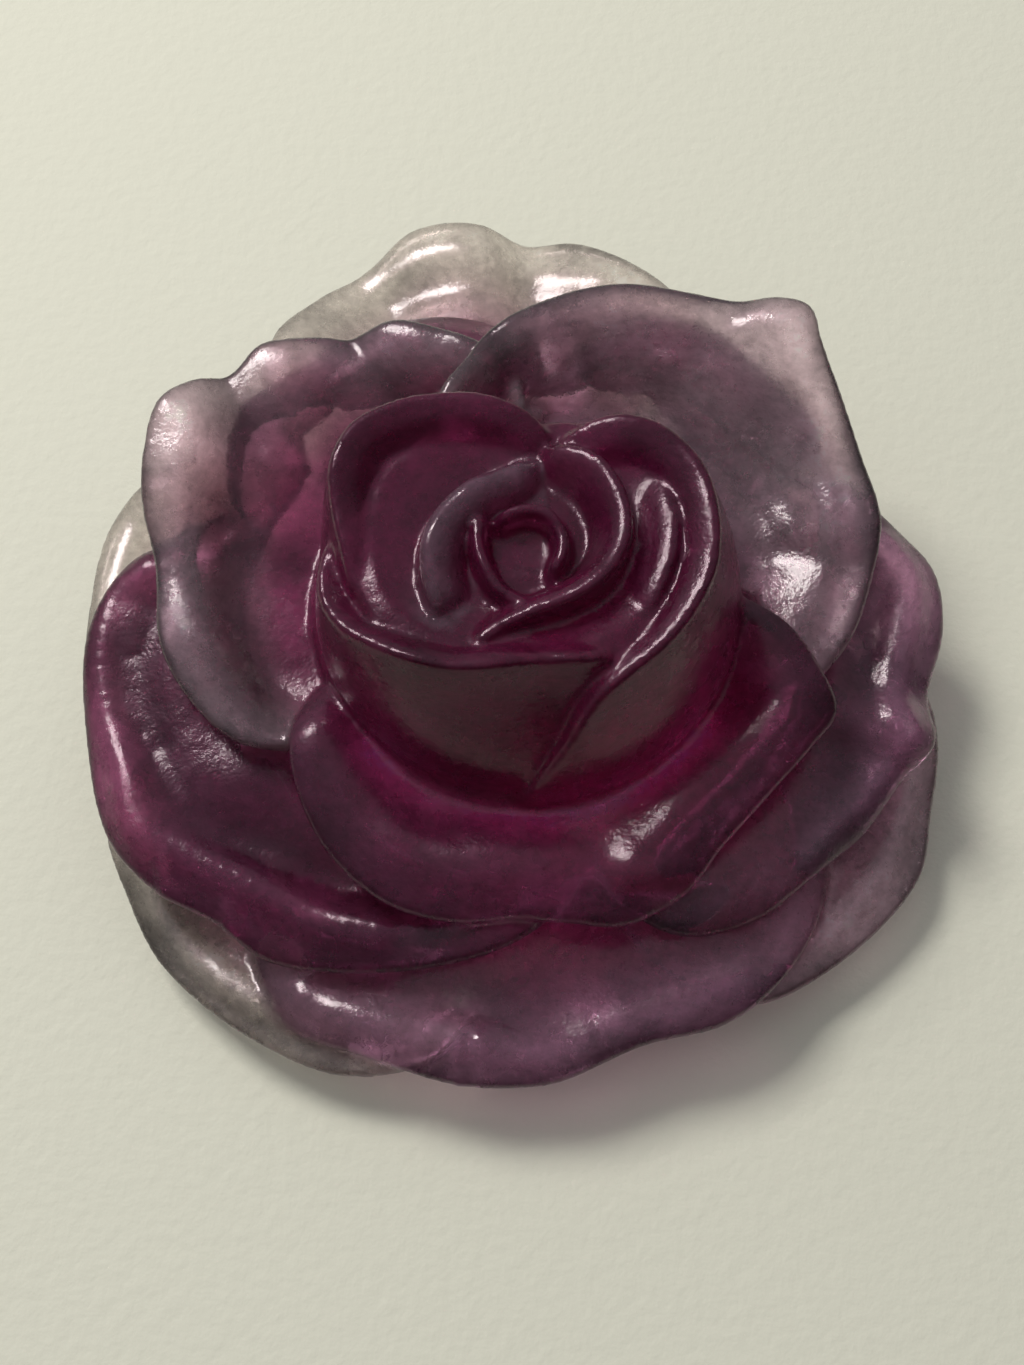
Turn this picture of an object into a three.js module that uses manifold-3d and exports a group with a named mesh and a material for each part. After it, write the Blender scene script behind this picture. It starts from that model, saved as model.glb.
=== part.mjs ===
// A cast-glass rose ornament: one solid piece of glass that lies face up on a flat ground foot.
// Millimetres, +Z up. Every petal is laid out round the flower's own upright axis. The finished
// solid is then moved so that the middle of its footprint is at x = y = 0 and its foot at z = 0.

import * as THREE from 'three';
import { mergeVertices } from 'three/addons/utils/BufferGeometryUtils.js';
import Module from 'manifold-3d';

// Driving dimensions of the solid heart that carries every petal.
const FOOT_RADIUS = 20;
const FOOT_BEVEL = 1.2;
const SKIRT_RADIUS = 32;
const SKIRT_HEIGHTS = [9, 14];
const BUD_GROOVE = { radius: 22.9, height: 18.9 };
const BUD_BEAD = { radius: 23.4, height: 20.2 };
const BUD_WAIST = { radius: 21.4, height: 22.4 };
const BUD_BROW = { radius: 17.2, height: 35.6 };
const BUD_BOWL = { radius: 8.5, height: 34.8 };
const HEART_SIDES = 36;
// From BUD_WAIST up the heart isn't round: it keeps these shares of its radius, one every 30 degrees.
const BUD_SHARES = [1, 1, 0.92, 0.8, 0.97, 1.08, 1.05, 1.02, 0.88, 0.74, 0.86, 0.96, 1];

// Where each ring of petals grows from. leave and arrive are the slopes of a petal's section at its
// root and its lip, in degrees above level. The glass tapers from thickRoot to thickLip. Open petals
// gain their thickness underneath, and the upright petals of the bud gain it on their inner face.
// shoulder and hollow give the distance inside the lip, the width and the height of the swell along
// an open petal's lip and of the dip behind it. droop is how far the last of the lip turns down.
// across and steps say how finely a petal is divided, along its lip and from root to lip.
const OPEN = {
  inner: 0, taper: 1.1, across: 16, steps: [0, 0.2, 0.42, 0.64, 0.84, 0.965, 1],
  shoulder: [5, 2.6, 1], hollow: [13, 5, 0.8], droop: [2.5, 0.8],
};
const ROLLED = {
  inner: 1, taper: 0.6, across: 10, steps: [0, 0.3, 0.6, 0.85, 0.955, 1],
  shoulder: [3, 1, 0], hollow: [6, 2, 0], droop: [2, 0],
};
const OUTER = {
  ...OPEN, rootRadius: 17, rootHeight: 6, leave: 14, arrive: -6, thickRoot: 7, thickLip: 1.5,
  shoulder: [3.5, 2, 0.4], hollow: [10, 4, 0.6], droop: [2, 0.4],
};
const LOWER = {
  ...OPEN, rootRadius: 18, rootHeight: 12, leave: 16, arrive: -24, thickRoot: 9, thickLip: 1.9,
};
const MIDDLE = {
  ...OPEN, rootRadius: 19, rootHeight: 18.5, leave: 2, arrive: 6, thickRoot: 10, thickLip: 1.8,
};
const BUD = {
  ...ROLLED, rootRadius: 21.5, rootHeight: 18, leave: 76, arrive: 104, thickRoot: 17, thickLip: 1.1,
};
const INNER = {
  ...ROLLED, rootRadius: 11, rootHeight: 27, leave: 84, arrive: 96, thickRoot: 7, thickLip: 1,
};

// Each petal's edge from one end of its root to the other: [angle in degrees, radius, height].
const PETALS = [
  { // outer ring, thin and low
    ring: OUTER, arrive: 4,
    edge: [[144, 28, 10], [136, 42, 12], [128, 50.5, 12.5], [119, 53.5, 11], [111, 55, 10], [104, 58, 12],
      [96, 57, 13], [90, 55.5, 10], [83, 55.5, 11], [76, 53.5, 12], [68, 50.5, 12], [58, 43, 11],
      [50, 30, 9]],
  },
  {
    ring: OUTER,
    edge: [[138, 28, 9], [146, 41, 11], [155, 48.5, 12], [163, 51.5, 10], [174, 51, 10], [184, 50.5, 9],
      [193, 46, 8], [200, 30, 7]],
  },
  {
    ring: OUTER,
    edge: [[190, 28, 7], [197, 44, 8], [204, 51.5, 8], [213, 53.2, 6], [222, 54.5, 5], [236, 54, 6],
      [248, 52.8, 6], [258, 48.8, 8], [266, 40, 8], [272, 28, 7]],
  },
  {
    ring: OUTER,
    edge: [[286, 28, 7], [292, 41, 7.5], [300, 48, 7], [311, 50.3, 6], [328, 52, 6], [338, 50.2, 6],
      [346, 49, 7.5], [353, 46.6, 9], [2, 40, 9], [8, 28, 8]],
  },
  {
    ring: OUTER, across: 10,
    edge: [[358, 28, 8], [5, 39, 9], [14, 43, 9], [26, 45, 8], [38, 46, 9], [50, 46.5, 10], [60, 43, 10],
      [68, 28, 9]],
  },
  { // lower ring
    ring: LOWER, rootHeight: 9, leave: 10, arrive: -10, thickRoot: 6,
    edge: [[216, 27, 9], [222, 38, 9], [228, 45, 9], [234, 48.5, 8], [240, 51, 8], [250, 50.3, 9],
      [262, 50.8, 9], [273, 50.3, 9], [285, 48, 10], [296, 49, 10], [306, 48, 10], [316, 45.3, 9],
      [324, 41, 9], [330, 27, 9]],
  },
  {
    ring: LOWER,
    edge: [[154, 27, 16], [160, 36, 17], [166, 41.5, 16], [172, 46.3, 15], [181, 49.3, 14],
      [194, 50.3, 13], [208, 51.5, 13], [217, 50, 12], [225, 47.3, 12], [233, 46.7, 11], [242, 44, 12],
      [256, 40, 14], [268, 36.7, 16], [278, 32, 16], [284, 25, 16]],
  },
  {
    ring: LOWER,
    edge: [[36, 27, 17], [28, 36, 17.5], [21, 41.6, 17], [14, 44.7, 16], [8, 47.7, 14.5], [0, 47.8, 13],
      [350, 46, 13], [343, 47.4, 14], [338, 45.4, 12.5], [328, 44, 12], [320, 42.5, 12], [306, 41.6, 13],
      [295, 39, 14], [287, 33, 15], [282, 25, 15]],
  },
  {
    ring: LOWER, across: 10,
    edge: [[88, 27, 15], [80, 37, 15], [70, 42, 15], [58, 43.5, 16], [46, 43, 15], [34, 41, 15],
      [26, 27, 15]],
  },
  {
    ring: LOWER, across: 10,
    edge: [[162, 27, 15], [155, 38, 15], [143, 43, 15.5], [128, 42.5, 14.5], [114, 43, 15.5],
      [100, 41.5, 15], [90, 37, 15], [84, 27, 15]],
  },
  { // middle ring
    ring: MIDDLE, arrive: 8,
    edge: [[90, 23, 24], [93, 28, 25.5], [101, 31.5, 26.5], [108, 34.5, 26], [114, 37.2, 25.5],
      [121, 38.3, 24], [128, 41.3, 24], [134, 44, 24], [140, 44, 23.5], [145, 46.5, 24.5],
      [151, 47.6, 25], [158, 46.2, 24.5], [165, 44.3, 23], [174, 41.2, 21.5], [187, 40.2, 21],
      [198, 37.7, 20], [207, 34.8, 20], [214, 30, 20.5], [219, 24, 20]],
  },
  {
    ring: MIDDLE, leave: 12,
    edge: [[118, 20, 27], [112, 24.5, 29], [105, 27, 29], [98, 30.5, 28.5], [90, 33.2, 28.5],
      [80, 36.6, 28], [71, 39, 28], [62, 40.7, 27.5], [54, 43.2, 27], [50, 45.5, 28], [46, 46.7, 28.5],
      [42, 45, 27.5], [34, 43, 25.5], [24, 41.4, 24], [13, 40.6, 23.5], [2, 38, 22], [352, 35.6, 21],
      [343, 32, 20], [336, 24, 19]],
  },
  {
    ring: MIDDLE, leave: 4, arrive: -24, thickLip: 2, shoulder: [5.5, 3.2, 1.2], hollow: [12, 3, 0.4],
    edge: [[203, 22, 19], [208, 27, 20.5], [214, 30, 21.5], [222, 32.3, 20.5], [233, 34.6, 19],
      [246, 36, 18], [258, 35.8, 18], [269, 34.6, 18], [278, 35.3, 17.5], [287, 36.6, 17], [298, 36, 18],
      [307, 34.2, 19], [320, 33.8, 20], [332, 34.8, 21], [339, 35.7, 21.5], [345, 32.6, 23],
      [351, 28.7, 24.5], [357, 23, 25]],
  },
  { // bud
    ring: BUD,
    edge: [[66, 15, 24], [70, 12, 31], [77, 11.8, 36], [90, 13.8, 38], [107, 16, 39], [120, 17.7, 39],
      [132, 19.6, 39], [145, 21.2, 39], [157, 21, 39], [168, 19.8, 38], [182, 18.3, 37],
      [196, 17.6, 35.5], [209, 16.3, 34], [218, 16, 30], [222, 18, 24]],
  },
  {
    ring: BUD, thickRoot: 14,
    edge: [[174, 21, 25], [174, 19.6, 31], [178, 20, 34], [187, 20.8, 34.5], [196, 21.1, 35],
      [207, 20.3, 36], [218, 18.7, 37], [230, 17.4, 38], [243, 15.9, 38], [257, 14.4, 38],
      [276, 13.2, 37], [292, 14, 37], [304, 15, 36], [312, 16, 31], [314, 18, 24]],
  },
  {
    ring: BUD, rootRadius: 22.4,
    edge: [[84, 16, 24], [80, 12, 31], [73, 11.6, 36], [61, 14.6, 38], [50, 16.8, 39], [38, 18.3, 39],
      [22, 19.1, 39], [5, 19, 39], [350, 18.9, 38.5], [335, 18.3, 38], [320, 17.7, 37], [304, 17.3, 36],
      [293, 17.8, 34.5], [282, 20, 30], [273, 22, 25], [268, 22.6, 20.5]],
  },
  { // rolled petals inside the bud
    ring: INNER,
    edge: [[42, 12, 28], [38, 14.4, 34], [26, 15.4, 36.5], [8, 15.2, 37.5], [350, 14.8, 37.5],
      [330, 14.4, 36.5], [316, 14.4, 34], [310, 14, 28]],
  },
  {
    ring: INNER, rootRadius: 9,
    edge: [[92, 9, 29], [86, 10, 34], [76, 10.6, 37], [54, 11.1, 38.5], [30, 10.7, 39], [6, 10.3, 39],
      [344, 9.7, 39], [322, 9, 39], [298, 8.3, 38.5], [273, 8.5, 38], [254, 10, 37], [244, 12.4, 36],
      [238, 13, 30]],
  },
  {
    ring: INNER, rootRadius: 8, thickLip: 2.3,
    edge: [[74, 7.6, 29], [78, 8.8, 35], [92, 7.7, 37.5], [112, 7, 38], [136, 7.1, 39], [160, 8, 39],
      [184, 9.3, 39], [204, 10.2, 38], [222, 11.2, 36.5], [232, 11.4, 30]],
  },
  {
    ring: INNER, rootRadius: 4, thickRoot: 3,
    edge: [[176, 3, 29], [160, 3.2, 36], [136, 3, 38], [84, 2.8, 38.5], [40, 3.2, 38.5], [4, 3.6, 38],
      [330, 4.2, 38], [306, 4.6, 37.5], [296, 4.8, 34], [292, 4.6, 29]],
  },
  {
    ring: INNER, rootRadius: 6, thickRoot: 3,
    edge: [[128, 5, 29], [140, 5.4, 36], [162, 5, 38], [190, 5, 38], [217, 5.3, 38], [246, 6.4, 37.5],
      [273, 7.2, 37], [296, 7.4, 36.5], [306, 7, 30]],
  },
];

const DEGREE = Math.PI / 180;
// Share of a section's chord that its end slopes act over.
const SECTION_REACH = 0.36;

function cylinderPoint(angle, radius, height) {
  return new THREE.Vector3(radius * Math.cos(angle), radius * Math.sin(angle), height);
}

// A petal's edge with its angles running on past 360, always the same way round the flower.
function orderedEdge(edge) {
  let last = edge[0][0];
  const unwrapped = edge.map(([angle, radius, height]) => {
    last = angle + 360 * Math.round((last - angle) / 360);
    return [last, radius, height];
  });
  return last > edge[0][0] ? unwrapped : unwrapped.reverse();
}

// How far a petal's surface stands above its plain section, this far inside its lip.
function swell(petal, inside) {
  const [shoulderAt, shoulderWidth, shoulderRise] = petal.shoulder;
  const [hollowAt, hollowWidth, hollowDrop] = petal.hollow;
  const [droopReach, droop] = petal.droop;
  return shoulderRise * Math.exp(-(((inside - shoulderAt) / shoulderWidth) ** 2))
    - hollowDrop * Math.exp(-(((inside - hollowAt) / hollowWidth) ** 2))
    - droop * Math.exp(-inside / droopReach);
}

// The middle surface of a petal, as rows of points from the root to the lip.
function petalSheet(petal) {
  const edge = orderedEdge(petal.edge);
  const lip = new THREE.CatmullRomCurve3(
    edge.map(([angle, radius, height]) => cylinderPoint(angle * DEGREE, radius, height)),
    false,
    'centripetal',
  );
  const firstAngle = edge[0][0] * DEGREE;
  const lastAngle = edge[edge.length - 1][0] * DEGREE;
  const rows = [];
  for (let across = 0; across <= petal.across; across += 1) {
    const share = across / petal.across;
    const rootAngle = firstAngle + (lastAngle - firstAngle) * share;
    const tip = lip.getPointAt(share);
    const tipRadius = Math.hypot(tip.x, tip.y);
    const turn = Math.atan2(tip.y, tip.x) - rootAngle;
    const swing = turn - 2 * Math.PI * Math.round(turn / (2 * Math.PI));
    const root = new THREE.Vector2(petal.rootRadius, petal.rootHeight);
    const end = new THREE.Vector2(tipRadius, tip.z);
    const reach = root.distanceTo(end) * SECTION_REACH;
    const leave = petal.leave * DEGREE;
    const arrive = petal.arrive * DEGREE;
    const section = new THREE.CubicBezierCurve(
      root,
      new THREE.Vector2(root.x + reach * Math.cos(leave), root.y + reach * Math.sin(leave)),
      new THREE.Vector2(end.x - reach * Math.cos(arrive), end.y - reach * Math.sin(arrive)),
      end,
    );
    rows.push(petal.steps.map((step) => {
      const spot = section.getPoint(step);
      const inside = (1 - step) * root.distanceTo(end);
      return cylinderPoint(rootAngle + swing * step, spot.x, spot.y + swell(petal, inside));
    }));
  }
  return rows;
}

// 0 at the petal's border, rising like a quarter circle to 1 at half a lip thickness inside it.
function roundness(distance, thickness) {
  const depth = Math.min(distance / (thickness / 2), 1);
  return Math.sqrt(1 - (1 - depth) ** 2);
}

// Points up on an open petal and towards the flower's axis on an upright one.
function surfaceNormal(rows, across, step) {
  const acrossWay = rows[across + 1][step].clone().sub(rows[across - 1][step]);
  const outWay = rows[across][step + 1].clone().sub(rows[across][step - 1]);
  return outWay.cross(acrossWay).normalize();
}

// A petal as a closed body: its sheet thickened both ways, with both faces meeting at the border.
function petalBody(petal) {
  const rows = petalSheet(petal);
  const lastRow = rows.length - 1;
  const lastStep = petal.steps.length - 1;
  const points = [];
  const faceIndex = { upper: [], lower: [] };
  rows.forEach((row, across) => {
    faceIndex.upper.push([]);
    faceIndex.lower.push([]);
    row.forEach((spot, step) => {
      const onBorder = across === 0 || across === lastRow || step === 0 || step === lastStep;
      if (onBorder) {
        faceIndex.upper[across].push(points.push(spot) - 1);
        faceIndex.lower[across].push(points.length - 1);
        return;
      }
      const taper = (1 - petal.steps[step]) ** petal.taper;
      const extra = (petal.thickRoot - petal.thickLip) * taper;
      const round = roundness(spot.distanceTo(row[lastStep]), petal.thickLip);
      const up = (petal.thickLip / 2 + extra * petal.inner) * round;
      const down = (petal.thickLip / 2 + extra * (1 - petal.inner)) * round;
      const normal = surfaceNormal(rows, across, step);
      faceIndex.upper[across].push(points.push(spot.clone().addScaledVector(normal, up)) - 1);
      faceIndex.lower[across].push(points.push(spot.clone().addScaledVector(normal, -down)) - 1);
    });
  });
  const faces = [];
  for (let across = 0; across < lastRow; across += 1) {
    for (let step = 0; step < lastStep; step += 1) {
      for (const side of [faceIndex.upper, faceIndex.lower]) {
        const near = side[across][step];
        const out = side[across][step + 1];
        const farOut = side[across + 1][step + 1];
        const far = side[across + 1][step];
        const quad = side === faceIndex.upper ? [near, out, farOut, far] : [near, far, farOut, out];
        faces.push([quad[0], quad[1], quad[2]], [quad[0], quad[2], quad[3]]);
      }
    }
  }
  return closedGeometry(points, faces);
}

// Indexed geometry whose faces point outwards, whichever way its petal was drawn round.
function closedGeometry(points, faces) {
  let volume = 0;
  for (const [a, b, c] of faces) {
    volume += points[a].dot(points[b].clone().cross(points[c]));
  }
  const outward = volume > 0 ? faces : faces.map(([a, b, c]) => [a, c, b]);
  const geometry = new THREE.BufferGeometry().setFromPoints(points);
  geometry.setIndex(outward.flat());
  return geometry;
}

// Share of its turned radius that the heart keeps at this angle, once it is well above BUD_WAIST.
function budShare(angle) {
  const place = (((angle / DEGREE) % 360) + 360) % 360 / 30;
  const before = Math.floor(place);
  const after = Math.min(before + 1, BUD_SHARES.length - 1);
  return THREE.MathUtils.lerp(BUD_SHARES[before], BUD_SHARES[after], place - before);
}

// The solid heart: a turned block from the ground foot up to the floor of the bud, drawn in or
// let out above its waist so that it stays inside the bud's own petals.
function heartBody() {
  const outline = [
    [0, 0],
    [FOOT_RADIUS - FOOT_BEVEL, 0],
    [FOOT_RADIUS, FOOT_BEVEL],
    [SKIRT_RADIUS, SKIRT_HEIGHTS[0]],
    [SKIRT_RADIUS, SKIRT_HEIGHTS[1]],
    [BUD_GROOVE.radius, BUD_GROOVE.height],
    [BUD_BEAD.radius, BUD_BEAD.height],
    [BUD_WAIST.radius, BUD_WAIST.height],
    [BUD_BROW.radius, BUD_BROW.height],
    [BUD_BOWL.radius, BUD_BOWL.height],
    [0, BUD_BOWL.height],
  ].map(([radius, height]) => new THREE.Vector2(radius, height));
  const turned = new THREE.LatheGeometry(outline, HEART_SIDES);
  turned.rotateX(Math.PI / 2);
  const spots = turned.attributes.position;
  for (let index = 0; index < spots.count; index += 1) {
    const follow = THREE.MathUtils.clamp((spots.getZ(index) - BUD_WAIST.height) / 8, 0, 1);
    const share = 1 + follow * (budShare(Math.atan2(spots.getY(index), spots.getX(index))) - 1);
    spots.setXY(index, spots.getX(index) * share, spots.getY(index) * share);
  }
  return turned;
}

const wasm = await Module();
wasm.setup();

function solidOf(geometry) {
  const bare = geometry.clone();
  bare.deleteAttribute('normal');
  bare.deleteAttribute('uv');
  const merged = mergeVertices(bare, 1e-4);
  return new wasm.Manifold(new wasm.Mesh({
    numProp: 3,
    vertProperties: new Float32Array(merged.attributes.position.array),
    triVerts: new Uint32Array(merged.index.array),
  }));
}

function geometryOf(solid) {
  const mesh = solid.getMesh();
  const geometry = new THREE.BufferGeometry();
  geometry.setAttribute('position', new THREE.BufferAttribute(mesh.vertProperties, 3));
  geometry.setIndex(new THREE.BufferAttribute(mesh.triVerts, 1));
  return geometry;
}

function roseGeometry() {
  let whole = solidOf(heartBody());
  for (const petal of PETALS) {
    whole = whole.add(solidOf(petalBody({ ...petal.ring, ...petal })));
  }
  // Cast glass has no sealed pockets: the largest shell is the outside of the rose.
  const shells = whole.decompose();
  shells.sort((one, other) => other.volume() - one.volume());
  const geometry = geometryOf(shells[0]);
  geometry.computeBoundingBox();
  const centre = geometry.boundingBox.getCenter(new THREE.Vector3());
  geometry.translate(-centre.x, -centre.y, -geometry.boundingBox.min.z);
  geometry.computeVertexNormals();
  return geometry;
}

const purpleGlass = new THREE.MeshStandardMaterial({ color: 0x5c2440, roughness: 0.25, metalness: 0 });

const group = new THREE.Group();
const rose = new THREE.Mesh(roseGeometry(), purpleGlass);
rose.name = 'rose';
group.add(rose);

export default group;
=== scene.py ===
import math

import bmesh
import bpy
import numpy as np
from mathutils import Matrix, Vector
from mathutils.kdtree import KDTree


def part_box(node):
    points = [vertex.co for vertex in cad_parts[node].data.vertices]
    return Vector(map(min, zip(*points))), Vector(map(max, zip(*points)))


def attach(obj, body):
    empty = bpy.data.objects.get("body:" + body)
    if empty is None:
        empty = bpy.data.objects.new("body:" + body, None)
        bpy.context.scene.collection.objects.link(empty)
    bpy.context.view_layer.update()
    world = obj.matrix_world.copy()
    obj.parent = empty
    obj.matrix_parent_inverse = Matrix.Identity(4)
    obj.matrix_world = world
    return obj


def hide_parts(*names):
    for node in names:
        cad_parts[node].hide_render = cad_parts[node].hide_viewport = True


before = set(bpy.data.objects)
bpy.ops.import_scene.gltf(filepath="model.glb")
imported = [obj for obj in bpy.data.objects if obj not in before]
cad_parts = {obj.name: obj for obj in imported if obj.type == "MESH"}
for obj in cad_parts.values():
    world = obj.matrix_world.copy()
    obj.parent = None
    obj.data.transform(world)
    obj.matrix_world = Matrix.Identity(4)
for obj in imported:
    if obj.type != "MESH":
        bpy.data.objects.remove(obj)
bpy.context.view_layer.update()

mm = 0.001
crowding = 1.6  # how far the steps of a petal's section crowd towards its lip

# Lengths in millimetres round the flower's own axis, angles in degrees.
# leave and arrive slope the section at the root and at the lip, and pull says how far each slope holds.
# inner = 1 thickens the petal towards the axis.
# shoulder: how far inside the lip it rises, its width and its rise; hollow: the same for the dip behind it.
# Along the lip a darker band of painted shade, standing in for the dark surroundings refracted at the rounded
# lip: how far it reaches and how much light it keeps.
# relief: ridges, valleys, creases and nicks along (angle, radius) paths, each with its width, rise and
# painted light and shade:
# lighter for painted highlights on ridges, nicks and glints, darker for painted shade in valleys and creases;
# grit is where the mould left the surface rough and glittering.
glassColors = {  # what a skin of each glass lets through, from clear to the deepest wine purple
    "clear": (0.70, 0.64, 0.60), "blush": (0.70, 0.52, 0.60), "smoke": (0.66, 0.51, 0.57),
    "lilac": (0.52, 0.27, 0.42), "rose": (0.55, 0.13, 0.30), "plum": (0.33, 0.085, 0.20),
    "wine": (0.32, 0.032, 0.14), "garnet": (0.44, 0.035, 0.18), "deep": (0.24, 0.015, 0.085),
}
openPetal = {"inner": 0, "across": 150, "steps": 60, "taper": 1.1, "pull": 0.36, "relief": [],
             "paintedLipShade": (1.2, 0.5), "fade": (0.35, 0.55), "shoulder": (5.0, 2.6, 1.0), "hollow": (13, 5, 0.8),
             "droop": (2.5, 0.8)}
rolledPetal = {"inner": 1, "across": 100, "steps": 44, "taper": 0.6, "pull": 0.36, "relief": [],
               "paintedLipShade": (0.8, 1.0), "fade": (0.35, 0.55), "shoulder": (3, 1, 0), "hollow": (6, 2, 0),
               "droop": (2, 0)}
outerRing = {**openPetal, "colors": ("plum", "clear"), "root": (17, 6), "leave": 14, "arrive": -6,
             "thickRoot": 7, "thickLip": 1.5, "paintedLipShade": (0.9, 0.75),
             "shoulder": (3.5, 2.0, 0.4), "hollow": (10, 4, 0.6), "droop": (2.0, 0.4)}
lowerRing = {**openPetal, "colors": ("wine", "plum"), "root": (18, 12), "leave": 16, "arrive": -24,
             "thickRoot": 9, "thickLip": 1.9}
middleRing = {**openPetal, "colors": ("wine", "smoke"), "root": (19, 18.5), "leave": 2, "arrive": 6,
              "thickRoot": 10, "thickLip": 1.8, "paintedLipShade": (1.2, 0.35), "shoulder": (5.0, 2.6, 0.4),
              "hollow": (13, 5, 0.4)}
budRing = {**rolledPetal, "colors": ("garnet", "wine"), "fade": (0.75, 0.25), "root": (21.5, 18),
           "leave": 76, "arrive": 104, "thickRoot": 17, "thickLip": 1.1}
innerRing = {**rolledPetal, "colors": ("deep", "wine"), "root": (11, 27), "leave": 84, "arrive": 96,
             "thickRoot": 7, "thickLip": 1.0}

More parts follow.
